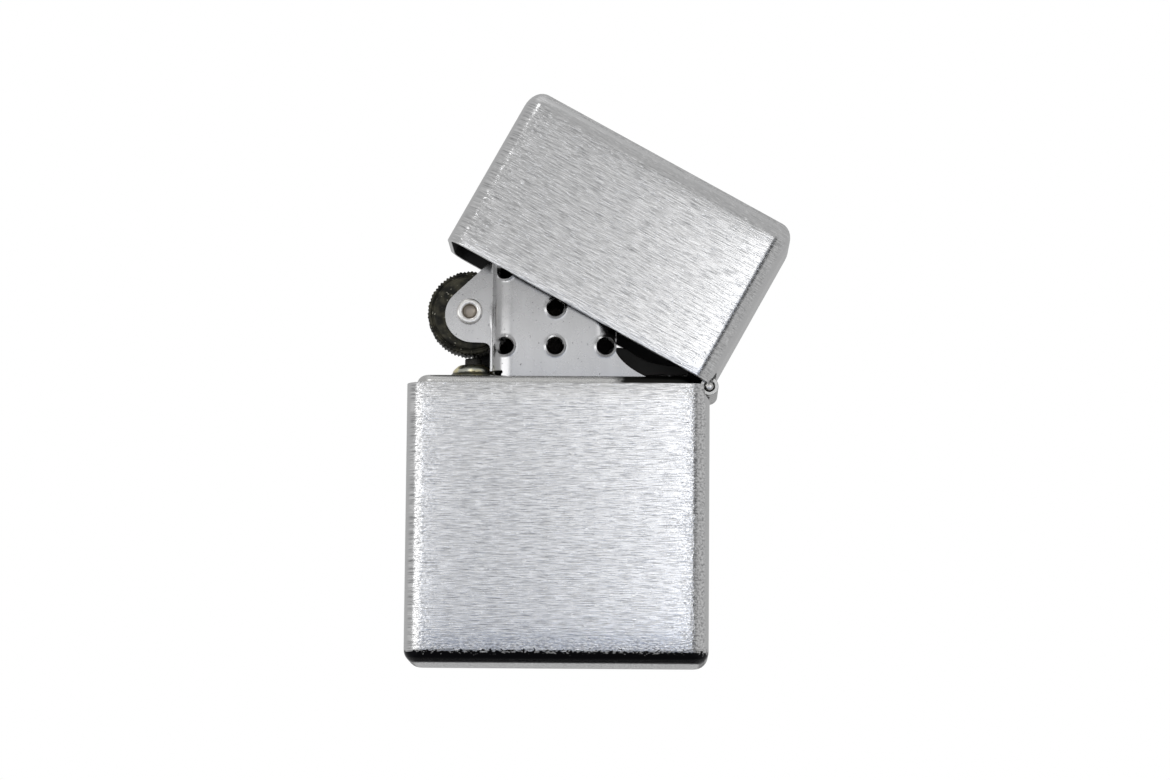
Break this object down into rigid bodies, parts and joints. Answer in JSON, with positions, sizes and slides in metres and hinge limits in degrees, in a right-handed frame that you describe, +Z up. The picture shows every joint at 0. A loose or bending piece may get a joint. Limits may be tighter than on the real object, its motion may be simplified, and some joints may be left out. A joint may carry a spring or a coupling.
{
  "type": "flip-top lighter",
  "caption": "Flip-top windproof pocket lighter with a hinged lid, a perforated windscreen and a toothed striking wheel.",
  "frame": {"origin": "centre of the case's flat bottom, in its plane", "axes": "+Z up through the open top; +X towards the hinge; -Y is the front"},
  "size_m": [0.0483, 0.0126, 0.0725],
  "materials": {
    "brushed_chrome": "chrome plate over brass, brushed in short strokes along the width",
    "hinge_steel": "bright formed steel with dark gaps between the knuckles",
    "bright_rivet": "bright nickel plate",
    "nickel": "smooth semi-gloss nickel-coloured steel with faint drawn lines",
    "wheel_steel": "blackened hardened steel with cut teeth",
    "spring_steel": "plain spring steel",
    "brass": "plain brass",
    "collar_brass": "pale brass, tarnished",
    "flint": "matte dark ferrocerium",
    "wick_cotton": "woven cotton",
    "cotton": "loose cotton fibre",
    "felt": "pressed felt"
  },
  "bodies": {
    "case": {"bottom_case": "brushed_chrome", "case_hinge_leaf": "hinge_steel", "hinge_pin": "bright_rivet", "insert_body": "nickel", "windscreen": "nickel", "wheel_rivet": "bright_rivet", "cam_pin": "nickel", "cam_spring": "spring_steel", "flint_tube": "brass", "tube_collar": "collar_brass", "flint_spring": "spring_steel", "flint_screw": "brass", "wick": "wick_cotton", "felt_pad": "felt", "cotton_ball_1": "cotton", "cotton_ball_2": "cotton", "cotton_ball_3": "cotton", "cotton_ball_4": "cotton", "cotton_ball_5": "cotton"},
    "lid": {"lid_case": "brushed_chrome", "lid_hinge_leaf": "hinge_steel"},
    "wheel": {"flint_wheel": "wheel_steel"},
    "cam": {"lid_cam": "wheel_steel"},
    "flint_column": {"flint": "flint", "flint_plunger": "brass"}
  },
  "joints": [
    {"name": "lid_hinge", "type": "hinge", "parent": "case", "child": "lid", "pos_m": [0.019, 0, 0.03505], "axis": [0, 1, 0], "range_deg": [-28.9, 101.1]},
    {"name": "wheel_spin", "type": "hinge", "parent": "case", "child": "wheel", "pos_m": [-0.01135, 0, 0.04465], "axis": [0, 1, 0], "continuous": true},
    {"name": "cam_pivot", "type": "hinge", "parent": "case", "child": "cam", "pos_m": [0.0077, 0, 0.0376], "axis": [0, 1, 0], "range_deg": [0, 6], "stiffness_Nm_per_rad": 0.02, "springref_deg": -28.65, "deforming": ["cam_spring"]},
    {"name": "flint_feed", "type": "slide", "parent": "case", "child": "flint_column", "axis": [0, 0, 1], "range_m": [-0.001, 0], "stiffness_N_per_m": 150, "springref_m": 0.01, "deforming": ["flint_spring"]}
  ]
}
